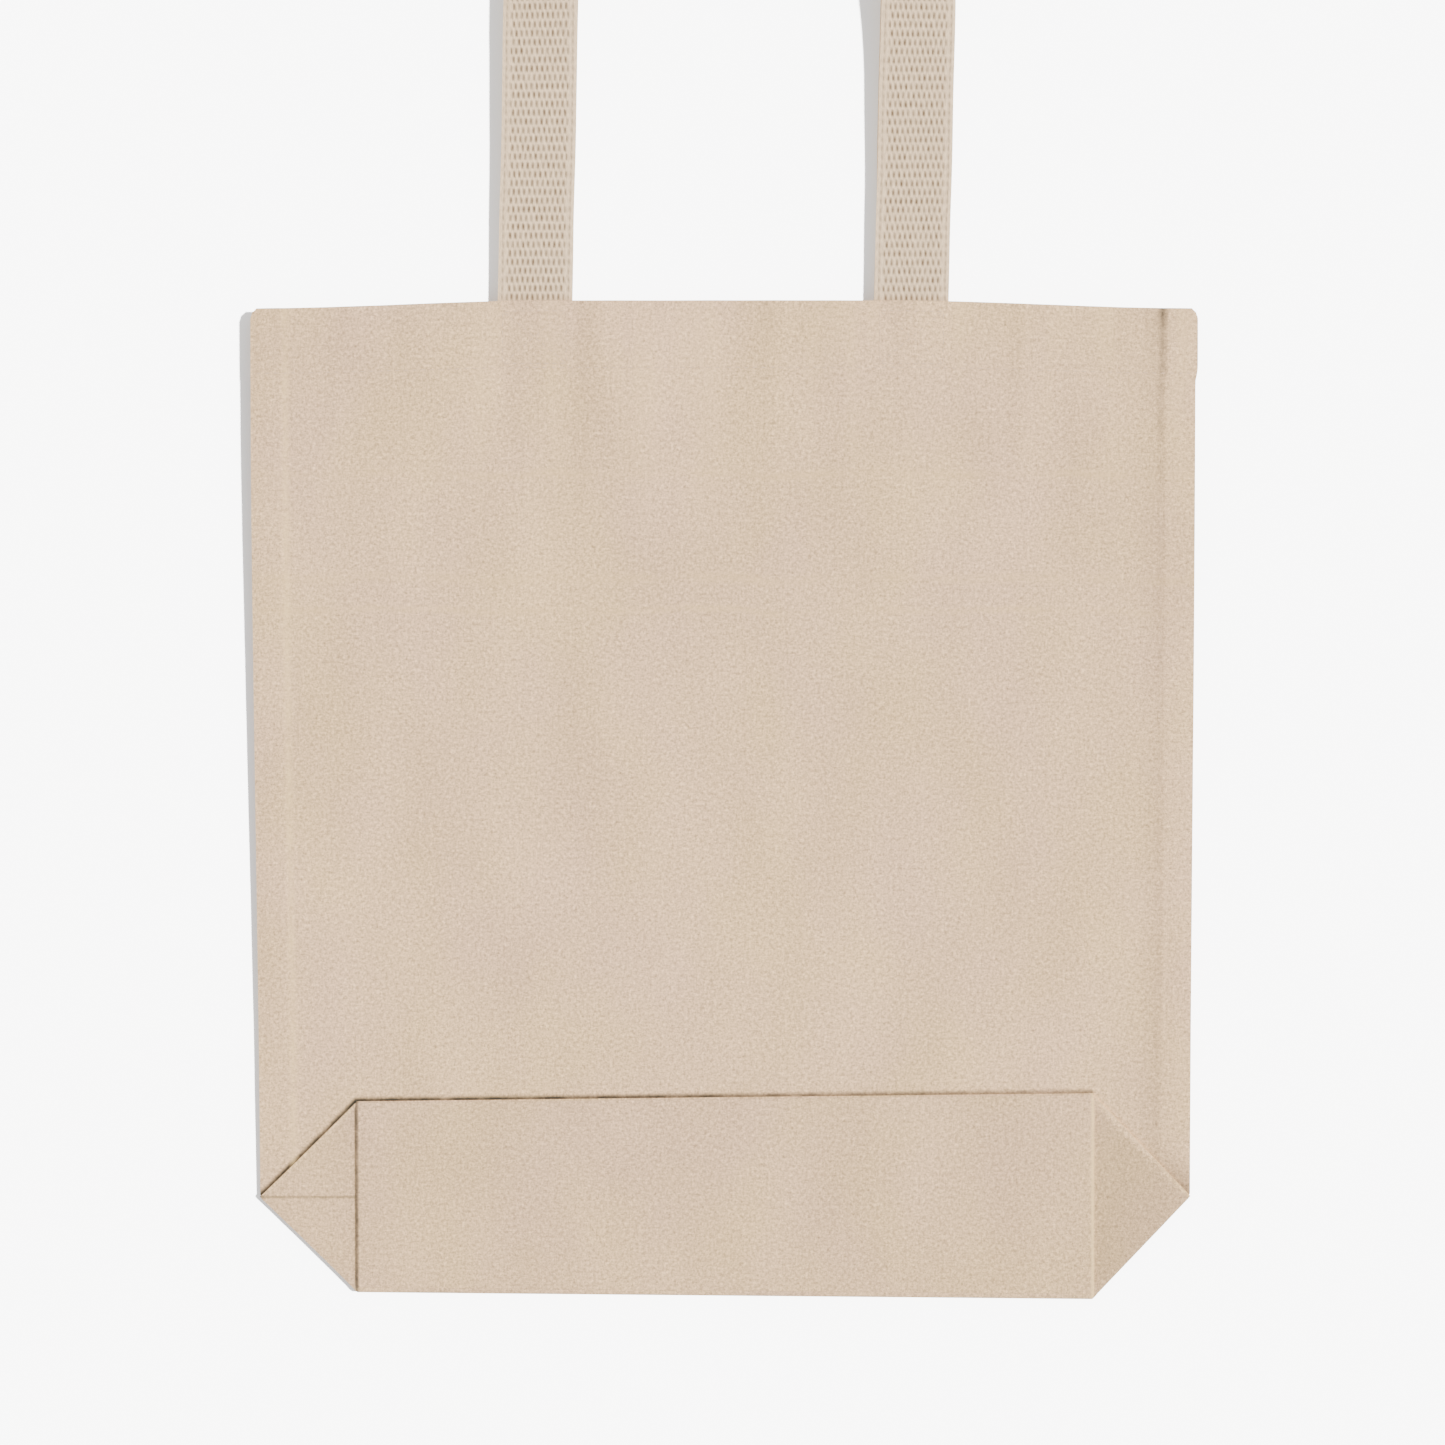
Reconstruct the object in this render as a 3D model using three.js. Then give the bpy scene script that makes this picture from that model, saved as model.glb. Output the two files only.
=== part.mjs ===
// Canvas tote bag lying flat on its back panel, base folded over the front.
// Millimetres, +X to the right, +Y towards the mouth and handles, +Z up.

import * as THREE from 'three';

// Overall sizes of the finished bag, laid flat
const BAG_WIDTH = 381;
const BAG_HEIGHT = 399;
const BASE_DEPTH = 80;

// Cloth, webbing and thread
const CLOTH = 0.6;
const WEBBING = 1.6;
const THREAD = 0.5;
const THREAD_RISE = 0.1;

// Clearances between layers and at the fold lines
const LAYER_GAP = 0.3;
const STRAP_GAP = 1.3;
const FOLD_SETBACK = 0.5;

// Mouth hem and seams
const HEM_DEPTH = 28;
const SEAM_ALLOWANCE = 13;

// Handles
const STRAP_WIDTH = 30;
const STRAP_SPACING = 152;
const STRAP_LEG = 150;
const TAB_LENGTH = 26;
const TAB_REACH = 0.5;
const HANDLE_START = 2;
const ARCH_NESTING = 8;
const ARCH_TILT = THREE.MathUtils.degToRad(72);
const FRONT_TILT_LEAD = 60;
const BACK_TILT_LEAD = 36;
const FRONT_LEG_RISE = 3.2;
const BACK_LEG_RISE = 2.2;
const LEG_RISE_RUN = 150;
const LOOP_STEPS = 96;

// Cross stitching that holds each handle end
const CROSS_WIDTH = 24;
const CROSS_HEIGHT = 21;
const CROSS_TOP = 4;

// Sizes that follow from the ones above
const HALF_DEPTH = BASE_DEPTH / 2;
const HALF_WIDTH = BAG_WIDTH / 2;
const WALL_X = HALF_WIDTH - HALF_DEPTH;
const HEM_START = BAG_HEIGHT - HEM_DEPTH;
const HALF_SPACING = STRAP_SPACING / 2;
const EAR = 2 * CLOTH;

// Undersides of the layers, from the floor up
const BACK_HEM_Z = CLOTH + LAYER_GAP;
const BACK_STRAP_Z = BACK_HEM_Z + CLOTH + LAYER_GAP;
const FRONT_STRAP_Z = BACK_STRAP_Z + WEBBING + STRAP_GAP;
const FRONT_MOUTH_Z = FRONT_STRAP_Z + WEBBING + LAYER_GAP + CLOTH + LAYER_GAP;
const FRONT_CREASE_Z = 2 * (CLOTH + LAYER_GAP);
const FRONT_SLOPE = Math.atan2(FRONT_MOUTH_Z - FRONT_CREASE_Z, BAG_HEIGHT - HALF_DEPTH);
const FRONT_LENGTH = (BAG_HEIGHT - HALF_DEPTH) / Math.cos(FRONT_SLOPE);
const STRIP_Z = FRONT_CREASE_Z + HALF_DEPTH * Math.tan(FRONT_SLOPE) + CLOTH + LAYER_GAP;
const EAR_Z = STRIP_Z + CLOTH + LAYER_GAP;
const BASE_Z = EAR_Z + EAR + LAYER_GAP;

const COLOURS = {
  canvas: 0xd9cab9,
  hem: 0xd6c6b4,
  webbing: 0xd8c9b6,
  thread: 0xe6dccd,
};

function finish(kind) {
  return new THREE.MeshStandardMaterial({
    color: COLOURS[kind],
    roughness: 0.95,
    metalness: 0,
  });
}

function addMesh(parent, name, geometry, kind) {
  const mesh = new THREE.Mesh(geometry, finish(kind));
  mesh.name = name;
  parent.add(mesh);
  return mesh;
}

// A flat layer cut to the outline given by its corners, underside at z
function addLayer(parent, name, corners, z, thickness, kind) {
  const outline = new THREE.Shape(corners.map(([x, y]) => new THREE.Vector2(x, y)));
  const geometry = new THREE.ExtrudeGeometry(outline, { depth: thickness, bevelEnabled: false });
  const mesh = addMesh(parent, name, geometry, kind);
  mesh.position.z = z;
  return mesh;
}

function rectangle(left, right, low, high) {
  return [[left, low], [right, low], [right, high], [left, high]];
}

// Mirrors an outline drawn for the right-hand side when side is -1
function onSide(side, corners) {
  const placed = corners.map(([x, y]) => [side * x, y]);
  return side > 0 ? placed : placed.reverse();
}

function sideName(side) {
  return side > 0 ? 'right' : 'left';
}

function addBackSheet(bag) {
  const edge = WALL_X - FOLD_SETBACK;
  addLayer(bag, 'back_panel', rectangle(-edge, edge, 0, BAG_HEIGHT), 0, CLOTH, 'canvas');
  addLayer(bag, 'back_hem', rectangle(-edge, edge, HEM_START, BAG_HEIGHT), BACK_HEM_Z, CLOTH, 'hem');
  for (const side of [-1, 1]) {
    const inner = WALL_X + FOLD_SETBACK;
    const gusset = [
      [inner, 2 * FOLD_SETBACK],
      [HALF_WIDTH, HALF_DEPTH + FOLD_SETBACK],
      [HALF_WIDTH, BAG_HEIGHT],
      [inner, BAG_HEIGHT],
    ];
    const hem = rectangle(inner, HALF_WIDTH, HEM_START, BAG_HEIGHT);
    addLayer(bag, `${sideName(side)}_back_gusset`, onSide(side, gusset), 0, CLOTH, 'canvas');
    addLayer(bag, `${sideName(side)}_back_gusset_hem`, onSide(side, hem), BACK_HEM_Z, CLOTH, 'hem');
  }
}

// Local frame of the front sheet: y runs from the lower crease to the mouth
function frontFrame(bag) {
  const frame = new THREE.Group();
  frame.position.set(0, HALF_DEPTH, FRONT_CREASE_Z);
  frame.rotation.x = FRONT_SLOPE;
  bag.add(frame);
  return frame;
}

function addFrontSheet(frame) {
  const edge = WALL_X - FOLD_SETBACK;
  const low = FOLD_SETBACK;
  const hemStart = FRONT_LENGTH - HEM_DEPTH;
  const hemZ = -LAYER_GAP - CLOTH;
  addLayer(frame, 'front_panel', rectangle(-edge, edge, low, FRONT_LENGTH), 0, CLOTH, 'canvas');
  addLayer(frame, 'front_hem', rectangle(-edge, edge, hemStart, FRONT_LENGTH), hemZ, CLOTH, 'hem');
  for (const side of [-1, 1]) {
    const inner = WALL_X + FOLD_SETBACK;
    const gusset = rectangle(inner, HALF_WIDTH, low, FRONT_LENGTH);
    const hem = rectangle(inner, HALF_WIDTH, hemStart, FRONT_LENGTH);
    const name = `${sideName(side)}_front_gusset`;
    addLayer(frame, name, onSide(side, gusset), 0, CLOTH, 'canvas');
    addLayer(frame, `${name}_hem`, onSide(side, hem), hemZ, CLOTH, 'hem');
    addSideSeam(frame, side, hemStart, hemZ);
  }
}

// Overlocked seam edge lying between the two side sheets, with its thread
function addSideSeam(frame, side, hemStart, z) {
  const outer = HALF_WIDTH - FOLD_SETBACK;
  const inner = outer - SEAM_ALLOWANCE;
  const end = hemStart - LAYER_GAP;
  const seam = rectangle(inner, outer, 2 * FOLD_SETBACK, end);
  addLayer(frame, `${sideName(side)}_side_seam_allowance`, onSide(side, seam), z, CLOTH, 'hem');
  const threadOuter = inner - LAYER_GAP;
  const thread = rectangle(threadOuter - THREAD, threadOuter, 2 * FOLD_SETBACK, end);
  addLayer(frame, `${sideName(side)}_side_overlock_thread`, onSide(side, thread), z, THREAD, 'thread');
}

// The part of the front that is folded back under the base
function addLowerStrip(bag) {
  const edge = WALL_X - FOLD_SETBACK;
  const low = HALF_DEPTH + FOLD_SETBACK;
  const high = BASE_DEPTH - FOLD_SETBACK;
  addLayer(bag, 'front_lower_strip', rectangle(-edge, edge, low, high), STRIP_Z, CLOTH, 'canvas');
  for (const side of [-1, 1]) {
    const inner = WALL_X + FOLD_SETBACK;
    const corner = [
      [inner, low],
      [HALF_WIDTH - 3 * FOLD_SETBACK, low],
      [inner, BASE_DEPTH - 3 * FOLD_SETBACK],
    ];
    const name = `${sideName(side)}_lower_strip_corner`;
    addLayer(bag, name, onSide(side, corner), STRIP_Z, CLOTH, 'canvas');
  }
}

// Base, the side wall corners that fold out flat beside it, and its inner ears
function addBase(bag) {
  const edge = WALL_X - FOLD_SETBACK;
  addLayer(bag, 'base_panel', rectangle(-edge, edge, 0, BASE_DEPTH), BASE_Z, CLOTH, 'canvas');
  for (const side of [-1, 1]) {
    const inner = WALL_X + FOLD_SETBACK;
    const wallCorner = [
      [inner, 2 * FOLD_SETBACK],
      [HALF_WIDTH - FOLD_SETBACK, HALF_DEPTH],
      [inner, BASE_DEPTH - 2 * FOLD_SETBACK],
    ];
    const ear = [
      [edge, FOLD_SETBACK],
      [edge, BASE_DEPTH - FOLD_SETBACK],
      [edge - HALF_DEPTH + FOLD_SETBACK, HALF_DEPTH],
    ];
    const seamX = edge - LAYER_GAP;
    const seam = rectangle(seamX - THREAD, seamX, FOLD_SETBACK, BASE_DEPTH - FOLD_SETBACK);
    const seamZ = BASE_Z + CLOTH + THREAD_RISE;
    const name = sideName(side);
    addLayer(bag, `${name}_wall_corner`, onSide(side, wallCorner), BASE_Z, CLOTH, 'canvas');
    addLayer(bag, `${name}_corner_ear`, onSide(side, ear), EAR_Z, EAR, 'hem');
    addLayer(bag, `${name}_corner_seam_thread`, onSide(side, seam), seamZ, THREAD, 'thread');
  }
}

// Boxed cross of stitches: a square ring with both diagonals, in one piece
function crossStitchShape(centreX, topY) {
  const right = CROSS_WIDTH / 2;
  const up = CROSS_HEIGHT / 2;
  const bar = THREAD;
  const centre = new THREE.Vector2(centreX, topY - up);
  const at = (x, y) => new THREE.Vector2(centre.x + x, centre.y + y);
  const shape = new THREE.Shape([at(-right, -up), at(right, -up), at(right, up), at(-right, up)]);
  const innerX = right - bar;
  const innerY = up - bar;
  for (const side of [-1, 1]) {
    const points = [at(side * innerX, -innerY + bar), at(side * innerX, innerY - bar), at(side * bar, 0)];
    shape.holes.push(new THREE.Path(points));
    const across = [at(-innerX + bar, side * innerY), at(innerX - bar, side * innerY), at(0, side * bar)];
    shape.holes.push(new THREE.Path(across));
  }
  return shape;
}

function addCrossStitch(parent, name, centreX, mouthY, z) {
  const shape = crossStitchShape(centreX, mouthY - CROSS_TOP);
  const geometry = new THREE.ExtrudeGeometry(shape, { depth: THREAD, bevelEnabled: false });
  const mesh = addMesh(parent, name, geometry, 'thread');
  mesh.position.z = z;
}

function addHemStitch(parent, name, hemStart, z) {
  const edge = WALL_X - 2 * FOLD_SETBACK;
  const line = rectangle(-edge, edge, hemStart + 1, hemStart + 1 + THREAD);
  addLayer(parent, name, line, z, THREAD, 'thread');
}

// Handle ends sewn inside the hem, with the stitching that holds them
function addHandleEnds(parent, panel, mouthY, strapZ, stitchZ) {
  for (const side of [-1, 1]) {
    const x = side * HALF_SPACING;
    const half = STRAP_WIDTH / 2;
    const end = rectangle(x - half, x + half, mouthY - TAB_LENGTH, mouthY + TAB_REACH);
    const label = `${panel}_${sideName(side)}`;
    addLayer(parent, `${label}_handle_end`, end, strapZ, WEBBING, 'webbing');
    addCrossStitch(parent, `${label}_cross_stitch`, x, mouthY, stitchZ);
  }
}

function smooth(t) {
  const k = Math.min(1, Math.max(0, t));
  return k * k * (3 - 2 * k);
}

// Centre, outward direction and tilt of the webbing at a length along the loop
function loopStation(along, leg, startZ, rise, tiltLead) {
  const arch = Math.PI * HALF_SPACING;
  const total = 2 * leg + arch;
  const fromRoot = Math.min(along, total - along);
  const turn = Math.min(Math.PI, Math.max(0, (along - leg) / HALF_SPACING));
  const outward = new THREE.Vector3(-Math.cos(turn), Math.sin(turn), 0);
  const legY = BAG_HEIGHT + HANDLE_START + Math.min(leg, fromRoot);
  const centre = outward.clone().multiplyScalar(HALF_SPACING);
  centre.y += legY;
  const tiltRun = tiltLead + arch / 2;
  const tilt = ARCH_TILT * smooth((fromRoot - leg + tiltLead) / tiltRun);
  const edgeLift = (STRAP_WIDTH / 2) * Math.sin(tilt);
  centre.z = startZ + rise * smooth(fromRoot / LEG_RISE_RUN) + edgeLift;
  return { centre, outward, tilt };
}

// Flat webbing bent round a loop: the inner edge lifts as it goes round the arch
function addHandle(bag, name, leg, strapZ, rise, tiltLead) {
  const total = 2 * leg + Math.PI * HALF_SPACING;
  const geometry = new THREE.BoxGeometry(STRAP_WIDTH, total, WEBBING, 2, LOOP_STEPS, 1);
  const points = geometry.attributes.position;
  const startZ = strapZ + WEBBING / 2;
  for (let i = 0; i < points.count; i += 1) {
    const along = points.getY(i) + total / 2;
    const station = loopStation(along, leg, startZ, rise, tiltLead);
    const cos = Math.cos(station.tilt);
    const sin = Math.sin(station.tilt);
    const across = -points.getX(i);
    const through = points.getZ(i);
    const sideways = across * cos + through * sin;
    const place = station.outward.clone().multiplyScalar(sideways).add(station.centre);
    place.z += through * cos - across * sin;
    points.setXYZ(i, place.x, place.y, place.z);
  }
  geometry.computeVertexNormals();
  addMesh(bag, name, geometry, 'webbing');
}

function buildBag() {
  const bag = new THREE.Group();
  bag.name = 'canvas_tote_bag';
  addBackSheet(bag);
  const frame = frontFrame(bag);
  addFrontSheet(frame);
  addLowerStrip(bag);
  addBase(bag);

  const frontStrapZ = -2 * LAYER_GAP - CLOTH - WEBBING;
  const frontStitchZ = CLOTH + THREAD_RISE;
  const backStitchZ = BACK_HEM_Z + CLOTH + THREAD_RISE;
  addHandleEnds(frame, 'front', FRONT_LENGTH, frontStrapZ, frontStitchZ);
  addHemStitch(frame, 'front_hem_stitching', FRONT_LENGTH - HEM_DEPTH, frontStitchZ);
  addHandleEnds(bag, 'back', BAG_HEIGHT, BACK_STRAP_Z, BACK_STRAP_Z + WEBBING + THREAD_RISE);
  addHemStitch(bag, 'back_hem_stitching', HEM_START, backStitchZ);

  const backLeg = STRAP_LEG - ARCH_NESTING;
  addHandle(bag, 'front_handle', STRAP_LEG, FRONT_STRAP_Z, FRONT_LEG_RISE, FRONT_TILT_LEAD);
  addHandle(bag, 'back_handle', backLeg, BACK_STRAP_Z, BACK_LEG_RISE, BACK_TILT_LEAD);
  return bag;
}

// The origin is at the middle of the whole outline, on the floor
function centred(bag) {
  bag.updateMatrixWorld(true);
  const box = new THREE.Box3().setFromObject(bag);
  bag.position.y = -(box.min.y + box.max.y) / 2;
  return bag;
}

export default centred(buildBag());
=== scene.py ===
import math
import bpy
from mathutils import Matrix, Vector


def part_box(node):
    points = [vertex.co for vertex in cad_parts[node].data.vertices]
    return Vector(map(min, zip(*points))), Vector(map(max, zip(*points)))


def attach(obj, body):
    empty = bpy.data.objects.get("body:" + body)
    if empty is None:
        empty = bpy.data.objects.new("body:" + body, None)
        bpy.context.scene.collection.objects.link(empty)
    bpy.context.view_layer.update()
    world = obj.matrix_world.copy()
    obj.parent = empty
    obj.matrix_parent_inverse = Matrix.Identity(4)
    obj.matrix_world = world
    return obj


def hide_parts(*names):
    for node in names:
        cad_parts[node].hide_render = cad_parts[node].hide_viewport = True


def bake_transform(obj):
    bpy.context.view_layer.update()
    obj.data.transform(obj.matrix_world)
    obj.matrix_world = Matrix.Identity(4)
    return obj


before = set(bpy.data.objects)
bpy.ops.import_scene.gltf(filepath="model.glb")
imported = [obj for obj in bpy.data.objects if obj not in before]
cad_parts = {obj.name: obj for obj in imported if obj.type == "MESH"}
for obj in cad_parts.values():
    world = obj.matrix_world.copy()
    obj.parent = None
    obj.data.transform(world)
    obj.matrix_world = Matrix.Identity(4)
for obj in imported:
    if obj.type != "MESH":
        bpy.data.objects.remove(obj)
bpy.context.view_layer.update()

from types import SimpleNamespace

import bmesh
import bpy
from bpy.props import FloatProperty, FloatVectorProperty, PointerProperty
from mathutils import Matrix, Vector, noise

bl_info = {
    "name": "Canvas Tote Bag",
    "version": (1, 0, 0),
    "blender": (4, 5, 0),
    "location": "3D View > Sidebar > Tote Bag",
    "description": "Builds the cloth, webbing and stitching of a flat-folded canvas tote bag",
    "category": "Object",
}

MM = 0.001


# Places taken from the frame, in metres
BACK_LOW, BACK_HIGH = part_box("back_panel")
BASE_LOW, BASE_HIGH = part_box("base_panel")
FRONT_END_LOW, FRONT_END_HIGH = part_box("front_right_handle_end")
BACK_END_LOW, BACK_END_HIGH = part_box("back_right_handle_end")

LOW_Y = BACK_LOW[1]
MOUTH_Y = BACK_HIGH[1]
BAG_HEIGHT = MOUTH_Y - LOW_Y
HALF_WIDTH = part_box("right_back_gusset")[1][0]
BASE_DEPTH = BASE_HIGH[1] - BASE_LOW[1]
HALF_DEPTH = BASE_DEPTH / 2
WALL_X = HALF_WIDTH - HALF_DEPTH
ALLOWANCE_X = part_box("right_side_seam_allowance")[0][0]
STRAP_X = (FRONT_END_LOW[0] + FRONT_END_HIGH[0]) / 2
STRAP_WIDTH = FRONT_END_HIGH[0] - FRONT_END_LOW[0]
HEM_DEPTH = MOUTH_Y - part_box("back_hem")[0][1]
SIDES = {"left": -1, "right": 1}

# Heights of the middle of each layer of cloth, and the turns that join them
BACK_Z = 0.3 * MM
BACK_HEM_Z = 1.15 * MM
BASE_Z = 4.75 * MM
BASE_EDGE_Z = 4.35 * MM
STRIP_Z = 3.5 * MM
CREASE_Z = 2.1 * MM
FRONT_MOUTH_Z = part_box("front_panel")[1][2] - 0.3 * MM
HEM_DROP = 0.85 * MM
LOW_TURN = (BASE_Z - BACK_Z) / 2
EDGE_TURN = (BASE_EDGE_Z - STRIP_Z) / 2
CREASE_TURN = (STRIP_Z - CREASE_Z) / 2
BACK_MOUTH_TURN = (BACK_HEM_Z - BACK_Z) / 2
MOUTH_TURN = HEM_DROP / 2
FRONT_SLOPE = (FRONT_MOUTH_Z - CREASE_Z) / (BAG_HEIGHT - HALF_DEPTH)
FRONT_RUN = BAG_HEIGHT - MOUTH_TURN - HALF_DEPTH - CREASE_TURN

# Where each piece starts on the cloth map, so that a mark can be laid on one piece alone
BACK_V = 0.0
LOWEST_FOLD_V = 0.9
BASE_V = 1.0
EDGE_FOLD_V = 1.4
STRIP_V = 1.5
CREASE_V = 1.8
FRONT_V = 2.0
EAR_V = 3.0
ALLOWANCE_V = 3.5


class ToteBagSizes(bpy.types.PropertyGroup):
    cloth: FloatProperty(
        name="Canvas thickness", description="Thickness of the canvas",
        default=0.6 * MM, subtype="DISTANCE", unit="LENGTH",
    )
    webbing: FloatProperty(
        name="Webbing thickness", description="Thickness of the handle webbing",
        default=1.3 * MM, subtype="DISTANCE", unit="LENGTH",
    )
    mesh_step: FloatProperty(
        name="Cloth mesh step", description="Spacing of the cloth mesh",
        default=2.5 * MM, subtype="DISTANCE", unit="LENGTH",
    )
    wrinkle: FloatProperty(
        name="Wrinkle height", description="Height of the soft wrinkles in the pressed cloth",
        default=0.3 * MM, subtype="DISTANCE", unit="LENGTH",
    )
    handle_lean: FloatProperty(
        name="Handle lean", description="Sideways lean of the handles per length",
        default=0.022,
    )
    stitch_length: FloatProperty(
        name="Stitch length", description="Length of one stitch",
        default=2.6 * MM, subtype="DISTANCE", unit="LENGTH",
    )
    rib_rows: FloatProperty(
        name="Webbing row pitch", description="Distance between rows of ribs along the webbing",
        default=3.53 * MM, subtype="DISTANCE", unit="LENGTH",
    )
    rib_columns: FloatProperty(
        name="Webbing column pitch", description="Distance between ribs across the webbing",
        default=2.1 * MM, subtype="DISTANCE", unit="LENGTH",
    )


class ToteBagColours(bpy.types.PropertyGroup):
    canvas: FloatVectorProperty(
        name="Canvas", description="Undyed canvas", size=3, subtype="COLOR",
        default=(0.74, 0.508, 0.312), min=0, max=1,
    )
    webbing: FloatVectorProperty(
        name="Webbing", description="Undyed cotton webbing", size=3, subtype="COLOR",
        default=(0.67, 0.51, 0.345), min=0, max=1,
    )
    thread: FloatVectorProperty(
        name="Thread", description="Sewing thread", size=3, subtype="COLOR",
        default=(0.74, 0.54, 0.37), min=0, max=1,
    )
    floor: FloatVectorProperty(
        name="Floor", description="Pale studio floor", size=3, subtype="COLOR",
        default=(0.86, 0.895, 0.97), min=0, max=1,
    )


def sizes():
    return bpy.context.scene.tote_bag_sizes


def colours():
    return bpy.context.scene.tote_bag_colours


def smooth(t):
    k = min(1.0, max(0.0, t))
    return k * k * (3 - 2 * k)


def ramp(value, start, end):
    return smooth((value - start) / (end - start))


# ---- Node helpers for the materials ----

def new_material(name):
    material = bpy.data.materials.new(name)
    material.use_nodes = True
    tree = material.node_tree
    return material, tree, tree.nodes["Principled BSDF"]


def math_node(tree, operation, first, second=0.0, third=0.0):
    node = tree.nodes.new("ShaderNodeMath")
    node.operation = operation
    for socket, value in zip(node.inputs, (first, second, third)):
        if isinstance(value, (int, float)):
            socket.default_value = value
        else:
            tree.links.new(value, socket)
    return node.outputs[0]


def product(tree, *values):
    result = values[0]
    for value in values[1:]:
        result = math_node(tree, "MULTIPLY", result, value)
    return result


def distance(tree, value, place):
    return math_node(tree, "ABSOLUTE", math_node(tree, "SUBTRACT", value, place))


def noise_node(tree, vector, scale, detail=2.0, roughness=0.5):
    node = tree.nodes.new("ShaderNodeTexNoise")
    node.inputs["Scale"].default_value = scale
    node.inputs["Detail"].default_value = detail
    node.inputs["Roughness"].default_value = roughness
    tree.links.new(vector, node.inputs["Vector"])
    return node.outputs["Fac"]


def scaled_vector(tree, vector, scale, offset=(0, 0, 0)):
    node = tree.nodes.new("ShaderNodeMapping")
    node.inputs["Scale"].default_value = scale
    node.inputs["Location"].default_value = offset
    tree.links.new(vector, node.inputs["Vector"])
    return node.outputs[0]


def remap(tree, value, low, high, to_low, to_high):
    node = tree.nodes.new("ShaderNodeMapRange")
    keys = ("From Min", "From Max", "To Min", "To Max")
    for key, amount in zip(keys, (low, high, to_low, to_high)):
        node.inputs[key].default_value = amount
    tree.links.new(value, node.inputs["Value"])
    return node.outputs["Result"]


def mix_colour(tree, factor, first, second, blend="MIX"):
    node = tree.nodes.new("ShaderNodeMix")
    node.data_type = "RGBA"
    node.blend_type = blend
    node.clamp_factor = True
    for key, value in ((0, factor), (6, first), (7, second)):
        if isinstance(value, (int, float)):
            node.inputs[key].default_value = value
        elif isinstance(value, tuple):
            node.inputs[key].default_value = value if len(value) == 4 else (*value, 1)
        else:
            tree.links.new(value, node.inputs[key])
    return node.outputs[2]


def cloth_map(tree):
    """The cloth's own flat measure, in metres: across, then along its length."""
    node = tree.nodes.new("ShaderNodeUVMap")
    node.uv_map = "cloth"
    return node.outputs[0]


def add_bump(tree, shader, height, strength, depth):
    node = tree.nodes.new("ShaderNodeBump")
    node.inputs["Strength"].default_value = strength
    node.inputs["Distance"].default_value = depth
    tree.links.new(height, node.inputs["Height"])
    tree.links.new(node.outputs[0], shader.inputs["Normal"])


def set_finish(shader, **amounts):
    """Sets numbers that are the same all over a surface on the shader's own sockets."""
    for name, amount in amounts.items():
        shader.inputs[name.replace("_", " ")].default_value = amount


def shade(colour, factor):
    return tuple(min(1.0, c * factor) for c in colour)


# ---- Canvas ----

YARN_SCALE = 1050
MOTTLE_SCALE = 760
# Colours of painted shade: the dark one for creases, crevices, folds turned from the light and
# shaded areas, the olive one for the open seam groove
PAINTED_SHADE = (0.055, 0.046, 0.032)
OLIVE_SEAM_SHADE = (0.13, 0.105, 0.05)
# Distance below the mouth, half width and strength of each old fold line
PRESS_LINES = (
    (66.5 * MM, 2.6 * MM, 0.5),
    (108.5 * MM, 3.2 * MM, 0.42),
    (121.5 * MM, 2.2 * MM, 0.42),
)
FLECK_SHARE = 0.955
FLECK_STRENGTH = 0.42


def scaled_colour(tree, colour, value):
    scale = tree.nodes.new("ShaderNodeVectorMath")
    scale.operation = "SCALE"
    for socket, source in ((scale.inputs[0], colour), (scale.inputs["Scale"], value)):
        tree.links.new(source, socket)
    return scale.outputs[0]


def canvas_grain(tree, uv):
    """Height of the plain weave: thick and thin yarns crossing both ways."""
    warp = noise_node(tree, scaled_vector(tree, uv, (1, 0.5, 1)), YARN_SCALE, 4.0, 0.85)
    weft_map = scaled_vector(tree, uv, (0.5, 1, 1), (3, 7, 0))
    weft = noise_node(tree, weft_map, YARN_SCALE, 4.0, 0.85)
    return math_node(tree, "ADD", product(tree, warp, 0.5), product(tree, weft, 0.5))


def canvas_tone(tree, uv, grain, base):
    """Colour of the plain cloth: warm and cool patches, light and dark yarns."""
    clouds = noise_node(tree, scaled_vector(tree, uv, (1, 0.45, 1)), 30, 3.0, 0.55)
    tone = noise_node(tree, scaled_vector(tree, uv, (1, 0.7, 1), (7, 1, 0)), 22, 2.0, 0.5)
    mottle_map = scaled_vector(tree, uv, (1, 1, 1), (5, 2, 0))
    mottle = noise_node(tree, mottle_map, MOTTLE_SCALE, 4.0, 0.9)
    yellow = (base[0], base[1] * 1.01, base[2] * 0.94)
    grey = (base[0], base[1] * 0.99, base[2] * 1.03)
    colour = mix_colour(tree, remap(tree, tone, 0.35, 0.65, 0, 1), yellow, grey)
    light_and_dark = remap(tree, mottle, 0.25, 0.75, 0.46, 1.54)
    yarns = remap(tree, grain, 0.32, 0.68, 0.42, 1.58)
    patches = remap(tree, clouds, 0.3, 0.7, 0.93, 1.07)
    return scaled_colour(tree, colour, product(tree, light_and_dark, yarns, patches))


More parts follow.
